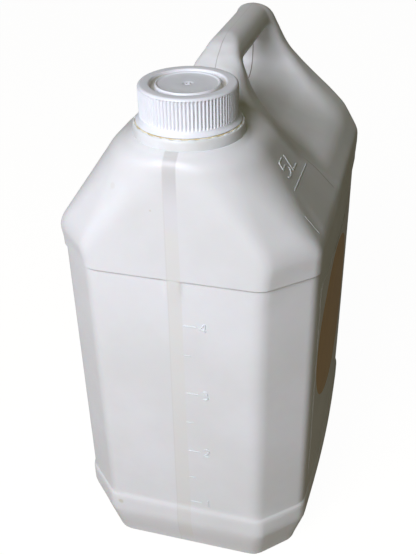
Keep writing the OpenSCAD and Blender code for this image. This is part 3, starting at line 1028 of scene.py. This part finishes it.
def capGrid():
    # a profile carried round the axis; between ribLow and ribHigh the radius swings in and out
    # once for each rib, rounded on the crests, and the swing fades in over ribFade at both ends
    c = cap
    ribZ = np.array(c["ribHeights"])
    top, foot = np.array(c["top"]), np.array(c["foot"])
    ribbed = np.stack([np.full(len(ribZ), c["ribRadius"]), ribZ], -1)
    profile = np.concatenate([top, ribbed, foot])
    fadeTop = np.clip((c["ribHigh"] - ribZ) / c["ribFade"], 0, 1)
    swing = np.zeros(len(profile))
    swing[len(top):len(top) + len(ribZ)] = (
        fadeTop * np.clip((ribZ - c["ribLow"]) / c["ribFade"], 0, 1)
    )
    steps = c["ribs"] * c["perRib"]
    a = np.arange(steps)[:, None] * 2 * np.pi / steps
    wave = (0.5 - 0.5 * np.cos(a * c["ribs"])) ** c["ribPower"]
    r = profile[None, :, 0] - c["ribDepth"] * wave * swing[None, :]
    z = profile[None, :, 1] + 0 * a
    p = np.stack([r * np.cos(a), neckY + r * np.sin(a), z], -1)
    return weld(p.reshape(-1, 3), gridFaces(steps, len(profile), True, True))


points, faces = capGrid()
screwCap = addObject("screwCap", points, faces, materials["cap"], "cap")
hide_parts("screw_cap")
print("cap made")

ring = dict(
    profile=[(25.45, 265.98), (26.9, 265.98), (27.08, 266.2), (27.08, 267.2), (26.9, 269.6),
             (26.65, 270.9), (26.45, 271.22), (26.2, 271.3), (25.7, 271.3), (25.5, 271.1),
             (25.45, 270.6)],
    steps=168,
    # the snapped bridges: how many, where they stand, their half sizes and how these vary
    bridges=28,
    bridgeRadius=25.97,
    bridgeHeight=271.21,
    bridgeSize=(2.1, 0.36, 0.5),
    bridgeShift=0.12,
    bridgeWidths=(0.75, 1.18),
    bridgeHeights=(0.85, 1.0),
    bridgeSteps=(8, 5),
    bridgeBlunt=0.6,
    # the dried lotion: radius and height of its middle, and its half thickness
    residue=(25.14, 271.22, 0.43),
    residueSides=10,
)


def bridgeGrid(seed=7):
    # small rounded lumps on the ring's upper edge, each with its own place, width and height
    rng = np.random.default_rng(seed)
    c, n = ring, ring["bridges"]
    around, along = c["bridgeSteps"]
    u = np.linspace(0, 2 * np.pi, around, endpoint=False)[:, None]
    v = np.linspace(-np.pi / 2, np.pi / 2, along)[None, :]
    flat = np.cos(v) ** c["bridgeBlunt"]
    shape = np.stack([flat * np.cos(u), flat * np.sin(u), np.sin(v) + 0 * u], -1).reshape(-1, 3)
    shift = rng.uniform(-c["bridgeShift"], c["bridgeShift"], n)
    angle = (np.arange(n) + 0.5 + shift) * 2 * np.pi / n
    wide = rng.uniform(*c["bridgeWidths"], n)
    size = np.stack([wide, np.ones(n), rng.uniform(*c["bridgeHeights"], n)], -1)
    local = shape[None] * (np.array(c["bridgeSize"]) * size)[:, None]
    radial = np.stack([np.cos(angle), np.sin(angle), 0 * angle], -1)[:, None]
    tangent = np.stack([-np.sin(angle), np.cos(angle), 0 * angle], -1)[:, None]
    base = radial * c["bridgeRadius"] + np.array([0, neckY, c["bridgeHeight"]])
    p = base + tangent * local[..., :1] + radial * local[..., 1:2]
    p = p + np.array([0, 0, 1.0]) * local[..., 2:]
    faces = np.concatenate([gridFaces(around, along, True, False, first=k * around * along)
                            for k in range(n)])
    return weld(p.reshape(-1, 3), faces)


def residueGrid():
    # dried lotion caught in the gap between the ring and the cap: a thin bead right round
    radius, height, size = ring["residue"]
    a = np.linspace(0, 2 * np.pi, ring["residueSides"], endpoint=False)
    profile = np.stack([radius + size * np.cos(a), height + size * np.sin(a)], -1)
    return lathe(profile, ring["steps"], (0, neckY))


band = lathe(np.array(ring["profile"]), ring["steps"], (0, neckY))
parts = [band, bridgeGrid(), residueGrid()]
tamperRing = addObject("tamperRing", *joinParts(parts), materials["ring"], "jug")
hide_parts("tamper_ring")
print("ring made")

label = dict(
    yRange=(-62.2, 61.8),
    zRange=(50.0, 186.0),
    corner=5.0,
    gap=0.05,
    thick=0.12,
    steps=(64, 68),
    startX=70.0,
)


def labelGrid():
    # a film that follows the side panel: an outer and an inner sheet over a grid with rounded
    # corners, joined all round
    c = label
    ny, nz = c["steps"]
    u, v = np.meshgrid(np.linspace(-1, 1, ny), np.linspace(-1, 1, nz), indexing="ij")
    halfY, halfZ = np.ptp(c["yRange"]) / 2, np.ptp(c["zRange"]) / 2
    over = np.clip(np.abs(u) * halfY - halfY + c["corner"], 0, None)
    drop = c["corner"] - np.sqrt(np.clip(c["corner"] ** 2 - over**2, 0, None))
    y = u * halfY + sum(c["yRange"]) / 2
    z = v * (halfZ - drop) + sum(c["zRange"]) / 2
    flat = np.stack([np.full(y.size, c["startX"]), y.ravel(), z.ravel()], -1)
    wallPoints = onSurface(flat, np.array([-1.0, 0, 0]))
    out = wallPoints + np.array([c["gap"] + c["thick"], 0, 0])
    back = wallPoints + np.array([c["gap"], 0, 0])
    grid = gridFaces(ny, nz, False, False)
    edge = np.arange(ny * nz).reshape(ny, nz)
    loop = np.concatenate([edge[:, 0], edge[-1, 1:], edge[-2::-1, -1], edge[0, -2:0:-1]])
    after = np.roll(loop, -1)
    rim = np.stack([loop, after, after + ny * nz, loop + ny * nz], -1)
    return np.concatenate([out, back]), [grid, grid[:, ::-1] + ny * nz, rim[:, ::-1]]


points, faces = labelGrid()
sideLabel = addObject("sideLabel", points, faces, materials["label"], "jug")
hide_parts("side_label")
print("label made")

# the liner inside the cap keeps its CAD shape and gets a material
for obj in bpy.data.objects:
    if obj.type == "MESH" and obj.name.startswith("sealing_disc"):
        obj.data.materials.clear()
        obj.data.materials.append(materials["liner"])

stage = dict(
    floorSize=12.0,
    floorHeight=-0.3,
    floorGlow=1.3,
    floorTone=(0.24, 0.21, 0.15),
    shadowShare=0.25,
    glossShare=0.1,
    ambient=(0.081, 0.076, 0.040),
    keyPlace=(-0.23, -0.97, 0.78),
    keyAim=(0, 0, 0.15),
    keySize=0.8,
    keyPower=14.6,
    keyColour=(0.885, 0.90, 1.0),
)


def seenShare(nodes, links):
    # one for what the camera sees straight on or through something clear, a little in a gloss
    path = nodes.new("ShaderNodeLightPath")
    total = nodes.new("ShaderNodeMath")
    total.operation = "MULTIPLY_ADD"
    links.new(path.outputs["Is Glossy Ray"], total.inputs[0])
    total.inputs[1].default_value = stage["glossShare"]
    links.new(path.outputs["Is Camera Ray"], total.inputs[2])
    clear = nodes.new("ShaderNodeMath")
    clear.operation = "ADD"
    links.new(total.outputs[0], clear.inputs[0])
    links.new(path.outputs["Is Transmission Ray"], clear.inputs[1])
    return clear.outputs[0]


def stageMaterial():
    # a diffuse floor that takes the object's shadow, mixed with a plain white for the camera
    made = bpy.data.materials.new("pale floor")
    made.use_nodes = True
    nodes, links = made.node_tree.nodes, made.node_tree.links
    nodes.clear()
    out = nodes.new("ShaderNodeOutputMaterial")
    diffuse = nodes.new("ShaderNodeBsdfDiffuse")
    diffuse.inputs[0].default_value = (*stage["floorTone"], 1)
    glow = nodes.new("ShaderNodeEmission")
    glow.inputs[0].default_value = (1, 1, 1, 1)
    glow.inputs[1].default_value = stage["floorGlow"]
    share = nodes.new("ShaderNodeMath")
    share.operation = "MULTIPLY"
    share.inputs[1].default_value = 1 - stage["shadowShare"]
    links.new(seenShare(nodes, links), share.inputs[0])
    mix = nodes.new("ShaderNodeMixShader")
    links.new(share.outputs[0], mix.inputs[0])
    links.new(diffuse.outputs[0], mix.inputs[1])
    links.new(glow.outputs[0], mix.inputs[2])
    links.new(mix.outputs[0], out.inputs[0])
    return made


def addStage():
    # the floor, a dim world that the camera sees as white, and one soft lamp at the front left
    h, low = stage["floorSize"] / mm / 2, stage["floorHeight"]
    corners = np.array([(-h, -h, low), (h, -h, low), (h, h, low), (-h, h, low)], float)
    quad = np.array([[0, 1, 2, 3]])
    floor = addObject("floor", corners, quad, stageMaterial(), None, smooth=False)
    world = bpy.data.worlds.new("studio")
    bpy.context.scene.world = world
    world.use_nodes = True
    nodes, links = world.node_tree.nodes, world.node_tree.links
    nodes.clear()
    out = nodes.new("ShaderNodeOutputWorld")
    back = nodes.new("ShaderNodeBackground")
    mix = nodes.new("ShaderNodeMix")
    mix.data_type = "RGBA"
    mix.inputs[6].default_value = (*stage["ambient"], 1)
    mix.inputs[7].default_value = (1, 1, 1, 1)
    links.new(seenShare(nodes, links), mix.inputs[0])
    links.new(mix.outputs[2], back.inputs[0])
    back.inputs[1].default_value = 1.0
    links.new(back.outputs[0], out.inputs[0])
    lamp = bpy.data.lights.new("key", "AREA")
    lamp.shape = "DISK"
    lamp.size = stage["keySize"]
    lamp.energy = stage["keyPower"]
    lamp.color = stage["keyColour"]
    obj = bpy.data.objects.new("key", lamp)
    obj.location = stage["keyPlace"]
    ahead = Vector(stage["keyAim"]) - Vector(stage["keyPlace"])
    obj.rotation_euler = ahead.to_track_quat("-Z", "Y").to_euler()
    bpy.context.scene.collection.objects.link(obj)


addStage()
bpy.context.scene.view_settings.view_transform = "Standard"
print("stage set")
